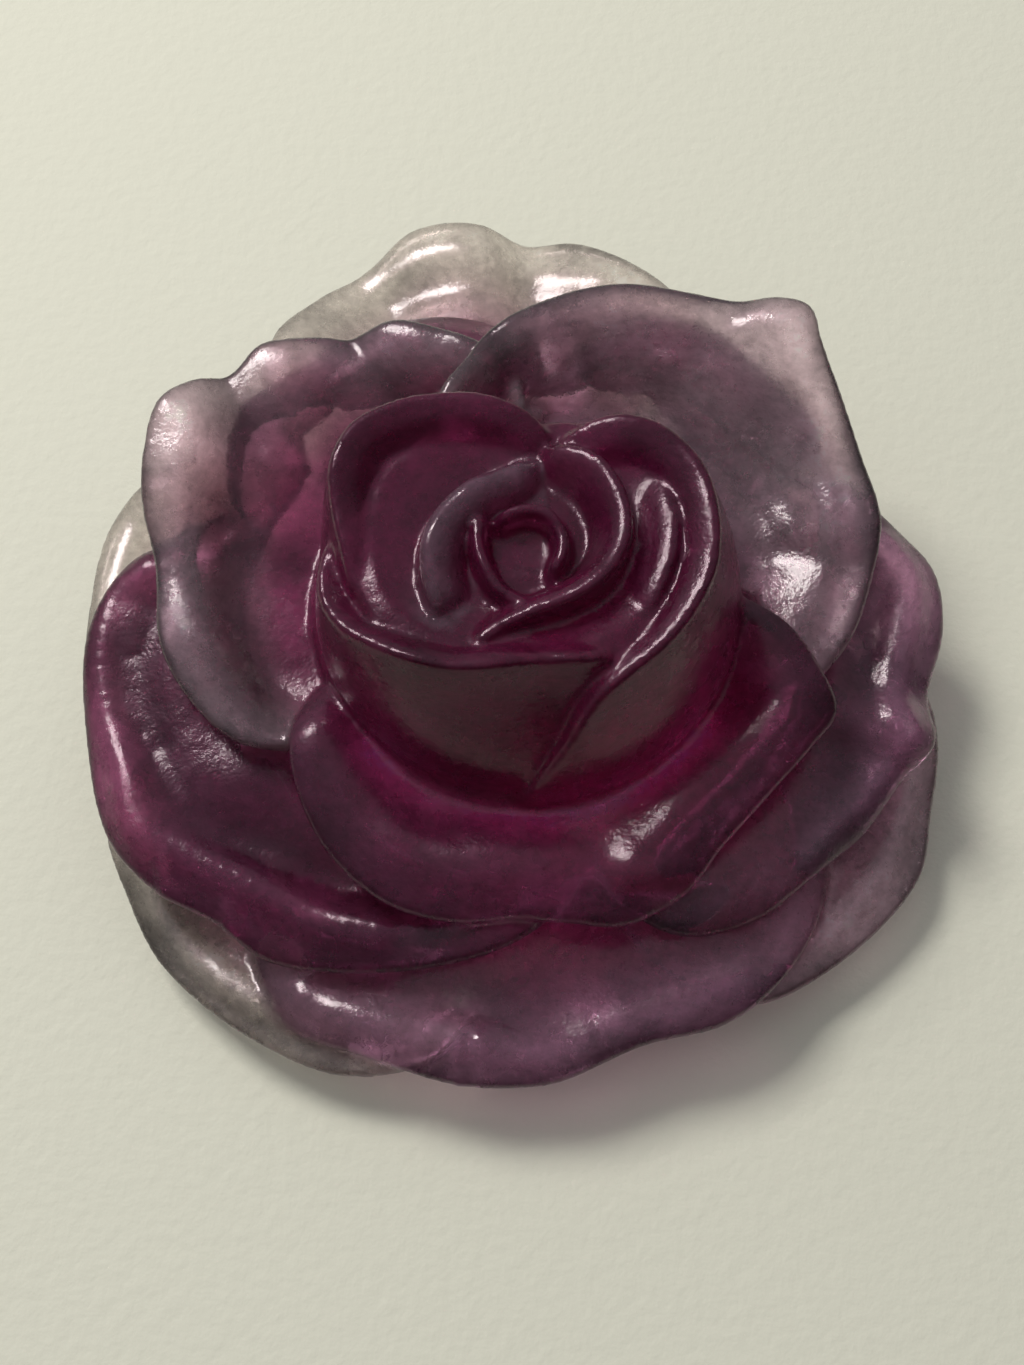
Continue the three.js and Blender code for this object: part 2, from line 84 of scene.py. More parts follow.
# Each edge runs from one end of the petal's root to the other: (angle, radius, height).
petals = [
    {**outerRing, "arrive": 4,  # back
     "relief": [
         {"path": [(85, 54.9), (77, 53.6), (69, 51.6)], "width": 0.9, "rise": 0, "paintedLightShade": 0.5},
         {"path": [(110, 53.4), (100, 53.0), (88, 49.8), (79, 49.0)], "width": 2.2, "rise": 0.5,
          "paintedLightShade": 1.05},
         {"path": [(119, 49.8), (106, 48.3), (94, 46.6)], "width": 3, "rise": -0.5, "paintedLightShade": 0.85}],
     "edge": [(144, 28, 10), (136, 42, 12), (128, 50.5, 12.5), (119, 53.5, 11), (111, 55, 10),
              (104, 58, 12), (96, 57, 13), (90, 55.5, 10), (83, 55.5, 11), (76, 53.5, 12), (68, 50.5, 12),
              (58, 43, 11), (50, 30, 9)]},
    {**outerRing,  # left
     "relief": [
         {"path": [(157, 48.6), (164, 48.9), (172, 48.9), (180, 48.7)], "width": 1.6, "rise": 0.5,
          "paintedLightShade": 1.05}],
     "edge": [(138, 28, 9), (146, 41, 11), (155, 48.5, 12), (163, 51.5, 10), (174, 51, 10),
              (184, 50.5, 9), (193, 46, 8), (200, 30, 7)]},
    {**outerRing,  # front left
     "relief": [
         {"path": [(208, 51.2), (218, 53.2), (227, 53.1), (237, 52), (247, 51.2)], "width": 1.2,
          "rise": -0.3, "paintedLightShade": 0.45},
         {"path": [(212, 50.5), (219, 51.1), (226, 51.2), (235, 50.5)], "width": 1.6, "rise": 0.6,
          "paintedLightShade": 1.1},
         {"path": [(229, 51.4), (232, 50.6)], "width": 1.2, "rise": 0, "paintedLightShade": 1.0, "grit": 1}],
     "edge": [(190, 28, 7), (197, 44, 8), (204, 51.5, 8), (213, 53.2, 6), (222, 54.5, 5), (236, 54, 6),
              (248, 52.8, 6), (258, 48.8, 8), (266, 40, 8), (272, 28, 7)]},
    {**outerRing, "colors": ("wine", "blush"),  # front right
     "relief": [
         {"path": [(350, 48.4), (343, 49.6), (333, 50.9), (324, 51.6), (315, 50.7), (304, 49)],
          "width": 0.9, "rise": 0, "paintedLightShade": 0.55},
         {"path": [(348, 46.2), (337, 47.2), (327, 47.6), (316, 47.4)], "width": 1.8, "rise": 0.6,
          "paintedLightShade": 1.1}],
     "edge": [(286, 28, 7), (292, 41, 7.5), (300, 48, 7), (311, 50.3, 6), (328, 52, 6), (338, 50.2, 6),
              (346, 49, 7.5), (353, 46.6, 9), (362, 40, 9), (368, 28, 8)]},
    {**outerRing,  # right
     "edge": [(358, 28, 8), (365, 39, 9), (374, 43, 9), (386, 45, 8), (398, 46, 9), (410, 46.5, 10),
              (420, 43, 10), (428, 28, 9)]},
    {**lowerRing, "root": (18, 9), "leave": 10, "arrive": -10, "thickRoot": 6,
     "colors": ("wine", "lilac"), "shoulder": (5, 2.6, 0.3),  # lowest, at the front
     "relief": [
         {"path": [(235, 48.5), (241, 50.2), (251, 49.5), (260, 49.8), (269, 49.6), (278, 48.7),
          (286, 47)], "width": 1.8, "rise": -0.2, "paintedLightShade": 0.6},
         {"path": [(240, 47.9), (251, 47.4), (264, 46.4), (274, 47.7), (287, 45.7), (300, 46)],
          "width": 2, "rise": 0.7, "paintedLightShade": 1.15},
         {"path": [(242, 44.5), (258, 42.4), (275, 42.6), (293, 42.6), (306, 43.2)], "width": 3.5,
          "rise": -0.8, "paintedLightShade": 0.8},
         {"path": [(261, 46.8), (262, 50.2)], "width": 0.6, "rise": 0.4, "paintedLightShade": 1.4},
         {"path": [(264, 46.4), (265, 50.3)], "width": 0.6, "rise": 0.4, "paintedLightShade": 1.4}],
     "edge": [(216, 27, 9), (222, 38, 9), (228, 45, 9), (234, 48.5, 8), (240, 51, 8), (250, 50.3, 9),
              (262, 50.8, 9), (273, 50.3, 9), (285, 48, 10), (296, 49, 10), (306, 48, 10), (316, 45.3, 9),
              (324, 41, 9), (330, 27, 9)]},
    {**lowerRing, "shoulder": (5, 2.6, 0.5),  # left
     "relief": [
         {"path": [(171, 43.8), (176, 47.3), (185, 48.4), (193, 48), (201, 47.2), (210, 48.4),
          (218, 44.4), (227, 41.7), (238, 39.7), (246, 38.6)], "width": 1.7, "rise": 0.9, "paintedLightShade": 1.3},
         {"path": [(178, 41.6), (188, 43.7), (200, 43.9), (213, 42), (224, 38.3), (238, 35.9),
          (253, 33.8)], "width": 3.5, "rise": -1.1, "paintedLightShade": 0.6},
         {"path": [(215, 47.5), (218, 48.8)], "width": 0.6, "rise": 0.4, "paintedLightShade": 1.5},
         {"path": [(225, 45), (228, 46.8)], "width": 0.6, "rise": 0.4, "paintedLightShade": 1.5},
         {"path": [(184, 46.1), (185, 45.2), (185, 43.8)], "width": 0.7, "rise": -0.2, "paintedLightShade": 0.8},
         {"path": [(197, 44.6), (200, 44.6), (200, 42.3)], "width": 0.7, "rise": -0.2, "paintedLightShade": 0.8},
         {"path": [(204, 47.3), (209, 48)], "width": 1.2, "rise": 0, "paintedLightShade": 1.4, "grit": 1},
         {"path": [(214, 45.5), (219, 44)], "width": 1.0, "rise": 0, "paintedLightShade": 1.3, "grit": 0.8}],
     "edge": [(154, 27, 16), (160, 36, 17), (166, 41.5, 16), (172, 46.3, 15), (181, 49.3, 14),
              (194, 50.3, 13), (208, 51.5, 13), (217, 50, 12), (225, 47.3, 12), (233, 46.7, 11),
              (242, 44, 12), (256, 40, 14), (268, 36.7, 16), (278, 32, 16), (284, 25, 16)]},
    {**lowerRing, "colors": ("wine", "lilac"), "shoulder": (5, 2.6, 0.5),  # right
     "relief": [
         {"path": [(12, 42.1), (5, 43.8), (-4, 42.4), (-13, 42.2), (-18, 44.4), (-25, 43), (-32, 41.8),
          (-40, 41.1)], "width": 1.6, "rise": 0.8, "paintedLightShade": 1.25},
         {"path": [(5, 39.6), (-6, 38.3), (-16, 39.8), (-27, 39.4)], "width": 3, "rise": -0.8,
          "paintedLightShade": 0.75},
         {"path": [(-70, 36.5), (-62, 39.6), (-51, 41.5)], "width": 1.5, "rise": -0.2, "paintedLightShade": 0.6},
         {"path": [(6, 43.9), (1, 43.5)], "width": 1.2, "rise": 0, "paintedLightShade": 1.3, "grit": 1},
         {"path": [(-1, 41.8), (-4, 41.6)], "width": 1.0, "rise": 0, "paintedLightShade": 1.3, "grit": 1},
         {"path": [(-36, 40.8), (-38, 41.8)], "width": 0.8, "rise": 0, "paintedLightShade": 1.2, "grit": 1}],
     "edge": [(282, 25, 15), (287, 33, 15), (295, 39, 14), (306, 41.6, 13), (320, 42.5, 12),
              (328, 44, 12), (338, 45.4, 12.5), (343, 47.4, 14), (350, 46, 13), (360, 47.8, 13),
              (368, 47.7, 14.5), (374, 44.7, 16), (381, 41.6, 17), (388, 36, 17.5), (396, 27, 17)]},
    {**lowerRing,  # back right
     "edge": [(26, 27, 15), (34, 41, 15), (46, 43, 15), (58, 43.5, 16), (70, 42, 15), (80, 37, 15),
              (88, 27, 15)]},
    {**lowerRing,  # back left
     "edge": [(84, 27, 15), (90, 37, 15), (100, 41.5, 15), (114, 43, 15.5), (128, 42.5, 14.5),
              (143, 43, 15.5), (155, 38, 15), (162, 27, 15)]},
    {**middleRing, "arrive": 8,  # left, cupped
     "relief": [
         {"path": [(150, 47.4), (151, 43.1), (155, 40.6), (165, 38.5), (174, 37.9), (182, 37),
          (191, 34.8), (202, 33.1), (212, 30.8)], "width": 2.6, "rise": 0.7, "paintedLightShade": 1.3},
         {"path": [(145, 41.4), (150, 37.3), (161, 34.7), (173, 33.1), (186, 31.3), (198, 30.1),
          (210, 29.5)], "width": 3.8, "rise": -0.9, "paintedLightShade": 0.5},
         {"path": [(142, 44.2), (144, 40.6), (147, 36.7)], "width": 1.7, "rise": -0.4, "paintedLightShade": 0.65},
         {"path": [(122, 38), (121, 33.4), (119, 29.1)], "width": 1.4, "rise": -0.4, "paintedLightShade": 0.6},
         {"path": [(123, 38), (130, 34.6), (138, 30.2)], "width": 1.8, "rise": -0.2, "paintedLightShade": 0.75},
         {"path": [(139, 41.9), (133, 39.8), (130, 36.3)], "width": 2.8, "rise": 0.25, "paintedLightShade": 1.0},
         {"path": [(117, 35.2), (113, 33.4), (111, 29.7)], "width": 2.6, "rise": 0.25, "paintedLightShade": 1.3},
         # painted light: the bright patches near the bud, where light comes through
         {"path": [(175, 28.8), (182, 26), (194, 27), (205, 27.4)], "width": 2.4, "rise": 0, "paintedLightShade": 2.6},
         {"path": [(143, 25), (158, 23.6), (174, 23.3)], "width": 1.6, "rise": 0, "paintedLightShade": 2.2},
         {"path": [(151, 44.5), (153, 40.5)], "width": 1.3, "rise": 0, "paintedLightShade": 1.3, "grit": 1},
         {"path": [(181, 37.4), (186, 36.4)], "width": 1.1, "rise": 0, "paintedLightShade": 1.3, "grit": 1},
         {"path": [(136, 33.5), (137, 32)], "width": 0.9, "rise": 0, "paintedLightShade": 1.2, "grit": 1}],
     "edge": [(90, 23, 24), (93, 28, 25.5), (101, 31.5, 26.5), (108, 34.5, 26), (114, 37.2, 25.5),
              (121, 38.3, 24), (128, 41.3, 24), (134, 44, 24), (140, 44, 23.5), (145, 46.5, 24.5),
              (151, 47.6, 25), (158, 46.2, 24.5), (165, 44.3, 23), (174, 41.2, 21.5), (187, 40.2, 21),
              (198, 37.7, 20), (207, 34.8, 20), (214, 30, 20.5), (219, 24, 20)]},
    {**middleRing, "leave": 12, "fade": (0.0, 0.5),  # right, cupped, with a pointed tip
     "colors": ("lilac", "smoke"),
     "relief": [
         {"path": [(91, 31.4), (76, 35.6), (59, 39.2), (47, 44), (38, 41.2), (25, 38.2), (15, 36.8)],
          "width": 3.2, "rise": 0.6, "paintedLightShade": 1.2},
         {"path": [(41, 44.8), (30, 42.2), (20, 40.5), (10, 38.9)], "width": 1.3, "rise": 0,
          "paintedLightShade": 0.45},
         {"path": [(77, 31.1), (70, 27), (59, 25.1), (47, 25.5)], "width": 1.3, "rise": -0.3,
          "paintedLightShade": 0.65},
         {"path": [(98, 30.3), (95, 26.6), (97, 23.6)], "width": 2.2, "rise": 0, "paintedLightShade": 0.5},
         {"path": [(81, 25.1), (58, 26.8), (37, 29.3), (15, 28.8)], "width": 5, "rise": -0.8,
          "paintedLightShade": 1.05},
         {"path": [(12, 26), (10, 30.8), (7, 36.5)], "width": 2.2, "rise": -0.25, "paintedLightShade": 0.65},
         {"path": [(36, 29.7), (29, 30.2), (18, 30.5)], "width": 0.9, "rise": 0.15, "paintedLightShade": 1.2},
         {"path": [(90, 32.5), (88, 33)], "width": 0.8, "rise": 0, "paintedLightShade": 1.2, "grit": 1},
         {"path": [(48, 44), (45, 43)], "width": 1.2, "rise": 0, "paintedLightShade": 1.2, "grit": 0.8}],
     "edge": [(-24, 24, 19), (-17, 32, 20), (-8, 35.6, 21), (2, 38, 22), (13, 40.6, 23.5), (24, 41.4, 24),
              (34, 43, 25.5), (42, 45, 27.5), (46, 46.7, 28.5), (50, 45.5, 28), (54, 43.2, 27),
              (62, 40.7, 27.5), (71, 39, 28), (80, 36.6, 28), (90, 33.2, 28.5), (98, 30.5, 28.5),
              (105, 27, 29), (112, 24.5, 29), (118, 20, 27)]},
    {**middleRing, "leave": 4, "arrive": -24, "shoulder": (5.5, 3.2, 0.9), "hollow": (12, 3, 0.4),
     "colors": ("wine", "plum"), "thickLip": 2.0, "paintedLipShade": (1.0, 0.8),  # front, rolled down
     "relief": [
         # painted highlight: the bright bead round the foot of the bud
         {"path": [(226, 24.2), (250, 24.4), (275, 24.4), (300, 24.4), (322, 24.2)], "width": 1.8,
          "rise": 0.2, "paintedLightShade": 3.6},
         {"path": [(340, 35.7), (338, 33.8)], "width": 2, "rise": -0.2, "paintedLightShade": 0.5},
         {"path": [(324, 34.1), (316, 34), (307, 34.3)], "width": 1.4, "rise": 0.2, "paintedLightShade": 1.5},
         {"path": [(291, 32.2), (293, 33.2)], "width": 2, "rise": 0.8, "paintedLightShade": 1.2},
         {"path": [(259, 27), (262, 26.7)], "width": 1.6, "rise": 0.4, "paintedLightShade": 1.1},
         {"path": [(244, 30.4), (257, 29.7), (271, 30)], "width": 3, "rise": 0.5, "paintedLightShade": 1.3},
         {"path": [(331, 30), (326, 30.5)], "width": 1.0, "rise": 0, "paintedLightShade": 1.1, "grit": 1},
         {"path": [(324, 31), (321, 31.5)], "width": 0.8, "rise": 0, "paintedLightShade": 1.1, "grit": 1},
         {"path": [(291.5, 34.8), (293, 35.2)], "width": 0.8, "rise": -0.1, "paintedLightShade": 1.1, "grit": 1}],
     "edge": [(203, 22, 19), (208, 27, 20.5), (214, 30, 21.5), (222, 32.3, 20.5), (233, 34.6, 19),
              (246, 36, 18), (258, 35.8, 18), (269, 34.6, 18), (278, 35.3, 17.5), (287, 36.6, 17),
              (298, 36, 18), (307, 34.2, 19), (320, 33.8, 20), (332, 34.8, 21), (339, 35.7, 21.5),
              (345, 32.6, 23), (351, 28.7, 24.5), (357, 23, 25)]},
    {**budRing,  # left of the bud
     "edge": [(66, 15, 24), (70, 12, 31), (77, 11.8, 36), (90, 13.8, 38), (107, 16, 39), (120, 17.7, 39),
              (132, 19.6, 39), (145, 21.2, 39), (157, 21, 39), (168, 19.8, 38), (182, 18.3, 37),
              (196, 17.6, 35.5), (209, 16.3, 34), (218, 16, 30), (222, 18, 24)]},
    {**budRing, "thickRoot": 14,  # front of the bud
     "edge": [(174, 21, 25), (174, 19.6, 31), (178, 20, 34), (187, 20.8, 34.5), (196, 21.1, 35),
              (207, 20.3, 36), (218, 18.7, 37), (230, 17.4, 38), (243, 15.9, 38), (257, 14.4, 38),
              (276, 13.2, 37), (292, 14, 37), (304, 15, 36), (312, 16, 31), (314, 18, 24)]},
    {**budRing, "root": (22.4, 18),  # right of the bud
     "edge": [(268, 22.6, 20.5), (273, 22, 25), (282, 20, 30), (293, 17.8, 34.5), (304, 17.3, 36),
              (320, 17.7, 37), (335, 18.3, 38), (350, 18.9, 38.5), (365, 19, 39), (382, 19.1, 39),
              (398, 18.3, 39), (410, 16.8, 39), (421, 14.6, 38), (433, 11.6, 36), (440, 12, 31),
              (444, 16, 24)]},
    {**innerRing,  # second petal on the right
     "edge": [(-50, 14, 28), (-44, 14.4, 34), (-30, 14.4, 36.5), (-10, 14.8, 37.5), (8, 15.2, 37.5),
              (26, 15.4, 36.5), (38, 14.4, 34), (42, 12, 28)]},
    {**innerRing, "root": (9, 27),  # inner roll, round the right and the front
     "edge": [(238, 13, 30), (244, 12.4, 36), (254, 10, 37), (273, 8.5, 38), (298, 8.3, 38.5),
              (322, 9, 39), (344, 9.7, 39), (366, 10.3, 39), (390, 10.7, 39), (414, 11.1, 38.5),
              (436, 10.6, 37), (446, 10, 34), (452, 9, 29)]},
    {**innerRing, "root": (8, 27), "thickLip": 2.3,  # inner roll, on the left
     "colors": ("wine", "lilac"), "fade": (0.7, 0.3),
     "edge": [(74, 7.6, 29), (78, 8.8, 35), (92, 7.7, 37.5), (112, 7, 38), (136, 7.1, 39), (160, 8, 39),
              (184, 9.3, 39), (204, 10.2, 38), (222, 11.2, 36.5), (232, 11.4, 30)]},
    {**innerRing, "root": (4, 27), "thickRoot": 3,  # the curl in the middle
     "edge": [(-68, 4.6, 29), (-64, 4.8, 34), (-54, 4.6, 37.5), (-30, 4.2, 38), (4, 3.6, 38),
              (40, 3.2, 38.5), (84, 2.8, 38.5), (136, 3, 38), (160, 3.2, 36), (176, 3, 29)]},
    {**innerRing, "root": (6, 27), "thickRoot": 3,  # the petal round the curl
     "edge": [(128, 5, 29), (140, 5.4, 36), (162, 5, 38), (190, 5, 38), (217, 5.3, 38), (246, 6.4, 37.5),
              (273, 7.2, 37), (296, 7.4, 36.5), (306, 7, 30)]},
]

heart = {
    "sides": 160,
    "outline": [(0, 0), (18.8, 0), (19.7, 0.35), (20, 1.2), (27, 5), (32, 9), (32, 14), (28, 17),
                (24.9, 18.4), (22.9, 18.9), (23.4, 20.2), (22.6, 21.2), (21.4, 22.4), (20.6, 25),
                (18.4, 32), (17.2, 35.6), (15, 36.1), (12, 35.4), (8.5, 34.8), (4.5, 35.2), (2, 34.9),
                (0, 34.9)],
    "paintedHighlightBand": (18, 21.5),  # heights of a painted highlight: paler glass along the bead where the bud stands on its petals
    "budFrom": 22, "budBlend": 8,  # from this height, and over this much, it takes on the shares below
    "shares": [(0, 1.0), (30, 1.0), (60, 0.92), (90, 0.8), (120, 0.97), (150, 1.08), (180, 1.05), (210, 1.02),
               (240, 0.88), (270, 0.74), (300, 0.86), (330, 0.96), (360, 1.0)],
}
casting = {"voxel": 0.42, "smoothRounds": 3, "smoothFactor": 0.5, "faces": 196000, "colorSpread": 10}


def splineThrough(points, count):  # centripetal Catmull-Rom, sampled at even lengths
    points = np.asarray(points, float)
    ends = np.vstack([2 * points[0] - points[1], points, 2 * points[-1] - points[-2]])
    knots = np.concatenate([[0], np.cumsum(np.sqrt(np.linalg.norm(np.diff(ends, axis=0), axis=1)))])
    dense = []
    for i in range(1, len(ends) - 2):
        t0, t1, t2, t3 = knots[i - 1:i + 3]
        t = np.linspace(t1, t2, 30, endpoint=False)[:, None]
        a1 = (t1 - t) / (t1 - t0) * ends[i - 1] + (t - t0) / (t1 - t0) * ends[i]
        a2 = (t2 - t) / (t2 - t1) * ends[i] + (t - t1) / (t2 - t1) * ends[i + 1]
        a3 = (t3 - t) / (t3 - t2) * ends[i + 1] + (t - t2) / (t3 - t2) * ends[i + 2]
        b1 = (t2 - t) / (t2 - t0) * a1 + (t - t0) / (t2 - t0) * a2
        b2 = (t3 - t) / (t3 - t1) * a2 + (t - t1) / (t3 - t1) * a3
        dense.append((t2 - t) / (t2 - t1) * b1 + (t - t1) / (t2 - t1) * b2)
    dense = np.vstack(dense + [ends[-2][None]])
    run = np.concatenate([[0], np.cumsum(np.linalg.norm(np.diff(dense, axis=0), axis=1))])
    even = np.linspace(0, run[-1], count)
    return np.column_stack([np.interp(even, run, dense[:, k]) for k in range(3)])


def bezier(p0, p1, p2, p3, t):
    return (1 - t) ** 3 * p0 + 3 * (1 - t) ** 2 * t * p1 + 3 * (1 - t) * t ** 2 * p2 + t ** 3 * p3


def petalSheet(petal):  # middle surface, rows across and columns from root to lip
    edge = np.array(petal["edge"], float)
    turn = np.radians(edge[:, 0])
    lip = splineThrough(np.column_stack([edge[:, 1] * np.cos(turn), edge[:, 1] * np.sin(turn), edge[:, 2]]),
                        petal["across"] + 1)
    rootAngle = np.linspace(turn[0], turn[-1], petal["across"] + 1)
    swing = (np.arctan2(lip[:, 1], lip[:, 0]) - rootAngle + math.pi) % (2 * math.pi) - math.pi
    step = 1 - (1 - np.linspace(0, 1, petal["steps"] + 1)) ** crowding
    root = np.tile(np.array(petal["root"], float), (len(lip), 1))
    end = np.column_stack([np.hypot(lip[:, 0], lip[:, 1]), lip[:, 2]])
    length = np.linalg.norm(end - root, axis=1)[:, None]
    pull = petal["pull"] * length
    leave, arrive = math.radians(petal["leave"]), math.radians(petal["arrive"])
    out = root + pull * np.array([math.cos(leave), math.sin(leave)])
    back = end - pull * np.array([math.cos(arrive), math.sin(arrive)])
    t = step[None, :, None]
    section = bezier(root[:, None], out[:, None], back[:, None], end[:, None], t)
    angle = rootAngle[:, None] + swing[:, None] * step[None]
    height = section[..., 1].copy()
    inside = (1 - step)[None] * length  # from the lip, along the section
    along = turn[0] + rootAngle[:, None]
    uneven = 0.7 + 0.3 * np.sin(7 * along + 1) * np.cos(3.1 * along)  # no shoulder is even all along
    for (at, width, rise), sign in ((petal["shoulder"], 1), (petal["hollow"], -1)):
        height += sign * rise * uneven * np.exp(-((inside - at) / width) ** 2)
    height -= petal["droop"][1] * np.exp(-inside / petal["droop"][0])
    sheet = np.stack([section[..., 0] * np.cos(angle), section[..., 0] * np.sin(angle), height], axis=-1)
    rootColor, lipColor = (np.array(glassColors[name]) for name in petal["colors"])
    start, span = petal["fade"]
    blend = (np.clip((step - start) / span, 0, 1) ** 1.3)[None, :, None]
    # painted shade: the colour darkens in a band along the lip
    reach, kept = petal["paintedLipShade"]
    paintedLightShade = 1 - (1 - kept) * np.exp(-(inside / reach) ** 2)
    grit = np.zeros_like(paintedLightShade)
    # each mark also paints light and shade into the colour: lighter for painted highlights on ridges, nicks
    # and glints, darker for painted shade in valleys and creases
    for mark in petal["relief"]:
        near = nearness(sheet, mark["path"], mark["width"])
        sheet[..., 2] += mark["rise"] * near
        paintedLightShade *= 1 + (mark["paintedLightShade"] - 1) * near
        grit = np.maximum(grit, mark.get("grit", 0) * near)
    color = (rootColor + (lipColor - rootColor) * blend) * paintedLightShade[..., None]
    return sheet, np.concatenate([color, grit[..., None]], axis=-1)


def nearness(sheet, path, width):  # 1 on the path, seen from above, falling to 0 a few widths away
    turn, radius = np.radians([p[0] for p in path]), np.array([p[1] for p in path])
    line = splineThrough(np.column_stack([radius * np.cos(turn), radius * np.sin(turn), 0 * radius]), 40)
    away = np.full(sheet.shape[:2], np.inf)
    for point in line:
        away = np.minimum(away, np.hypot(sheet[..., 0] - point[0], sheet[..., 1] - point[1]))
    return np.exp(-(away / width) ** 2)


def petalBody(petal):
    sheet, color = petalSheet(petal)
    rows, cols = sheet.shape[:2]
    normal = np.cross(np.gradient(sheet, axis=1), np.gradient(sheet, axis=0))
    normal /= np.linalg.norm(normal, axis=-1, keepdims=True) + 1e-12
    half = petal["thickLip"] / 2
    depth = np.clip(np.linalg.norm(sheet - sheet[:, -1:], axis=-1) / half, 0, 1)
    around = np.sqrt(1 - (1 - depth) ** 2)
    side = np.minimum(np.arange(rows), np.arange(rows)[::-1])[:, None]
    around = around * np.clip(side, 0, 1)
    around[:, 0] = 0
    step = 1 - (1 - np.linspace(0, 1, cols)) ** crowding
    extra = (petal["thickRoot"] - petal["thickLip"]) * (1 - step[None]) ** petal["taper"]
    up = (half + extra * petal["inner"]) * around
    down = (half + extra * (1 - petal["inner"])) * around
    upper = (sheet + normal * up[..., None]).reshape(-1, 3)
    lower = (sheet - normal * down[..., None]).reshape(-1, 3)
    index = np.arange(rows * cols).reshape(rows, cols)
    border = np.ones((rows, cols), bool)
    border[1:-1, 1:-1] = False
    lowerIndex = np.where(border, index, index + rows * cols)
    quads = []
    for grid, flip in ((index, False), (lowerIndex, True)):
        quad = np.stack([grid[:-1, :-1], grid[:-1, 1:], grid[1:, 1:], grid[1:, :-1]], axis=-1).reshape(-1, 4)
        quads.append(quad[:, ::-1] if flip else quad)
    color = color.reshape(-1, 4)
    return np.vstack([upper, lower]), np.vstack(quads), np.vstack([color, color])


def heartBody():
    profile = np.array(heart["outline"], float)
    sides = heart["sides"]
    turn = np.linspace(0, 2 * math.pi, sides, endpoint=False)
    ring = profile[1:-1]
    shareAt, share = np.array(heart["shares"]).T
    follow = np.clip((ring[:, 1] - heart["budFrom"]) / heart["budBlend"], 0, 1)[None]
    radius = ring[None, :, 0] * (1 + follow * (np.interp(np.degrees(turn), shareAt, share) - 1)[:, None])
    body = np.stack([radius * np.cos(turn)[:, None], radius * np.sin(turn)[:, None],
                     np.tile(ring[:, 1], (sides, 1))], axis=-1).reshape(-1, 3)
    points = np.vstack([body, [[0, 0, profile[0, 1]], [0, 0, profile[-1, 1]]]])
    rings = len(ring)
    faces = []
    for i in range(sides):
        here, there = i * rings, (i + 1) % sides * rings
        faces.append((len(body), there, here))
        faces.append((len(body) + 1, here + rings - 1, there + rings - 1))
        for k in range(rings - 1):
            faces.append((here + k, there + k, there + k + 1, here + k + 1))
    color = np.tile(np.array(glassColors["wine"] + (0,)), (len(points), 1))
    # painted highlight: the band where the bud stands on its petals takes the paler rose glass
    low, high = heart["paintedHighlightBand"]
    color[(points[:, 2] > low) & (points[:, 2] < high), :3] = glassColors["rose"]
    return points, faces, color


def link(tree, source, target):
    tree.links.new(source, target)


def addNode(tree, kind, **values):
    node = tree.nodes.new(kind)
    for name, value in values.items():
        setattr(node, name, value)
    return node


def addObject(name, points, faces):
    mesh = bpy.data.meshes.new(name)
    mesh.from_pydata([tuple(p) for p in points], [], [tuple(int(i) for i in f) for f in faces])
    mesh.update()
    made = bpy.data.objects.new(name, mesh)
    bpy.context.scene.collection.objects.link(made)
    return made


def applied(piece):  # turns a piece with its modifiers into plain mesh
    bpy.context.view_layer.update()
    seen = piece.evaluated_get(bpy.context.evaluated_depsgraph_get())
    mesh = bpy.data.meshes.new_from_object(seen)
    old = piece.data
    piece.modifiers.clear()
    piece.data = mesh
    bpy.data.meshes.remove(old)
    return piece


def castRose():
    points, faces, colors, count = [], [], [], 0
    for body in [heartBody()] + [petalBody(petal) for petal in petals]:
        points.append(body[0])
        faces.extend([tuple(int(i) + count for i in face) for face in body[1]])
        colors.append(body[2])
        count += len(body[0])
    points, colors = np.vstack(points) * mm, np.vstack(colors)
    rose = addObject("castRose", points, faces)
    remesh = rose.modifiers.new("fuse", "REMESH")
    remesh.mode = "VOXEL"
    remesh.voxel_size = casting["voxel"] * mm
    remesh.use_smooth_shade = True
    smooth = rose.modifiers.new("fillets", "SMOOTH")
    smooth.factor = casting["smoothFactor"]
    smooth.iterations = casting["smoothRounds"]
    applied(rose)
    print("fused petals:", len(rose.data.polygons), "faces")
    thin = rose.modifiers.new("thin", "DECIMATE")
    thin.ratio = min(1, casting["faces"] / (2 * len(rose.data.polygons)))
    applied(rose)
    dropSpecks(rose)
    carryColors(rose, points, colors)
    return rose


def dropSpecks(piece):  # the casting is one body, so what the remesh left loose beside it goes
    work = bmesh.new()
    work.from_mesh(piece.data)
    bodies, seen = [], set()
    for first in work.verts:
        if first in seen:
            continue
        seen.add(first)
        body, waiting = [], [first]
        while waiting:
            vert = waiting.pop()
            body.append(vert)
            for other in (edge.other_vert(vert) for edge in vert.link_edges):
                if other not in seen:
                    seen.add(other)
                    waiting.append(other)
        bodies.append(body)
    bodies.sort(key=len)
    bmesh.ops.delete(work, geom=[vert for body in bodies[:-1] for vert in body], context="VERTS")
    work.to_mesh(piece.data)
    work.free()
    print("dropped", len(bodies) - 1, "loose specks")


castSkin = {"waveHeight": 0.22, "waveSize": 9.0, "rippleHeight": 0.07, "rippleSize": 2.6, "seed": 4.0}


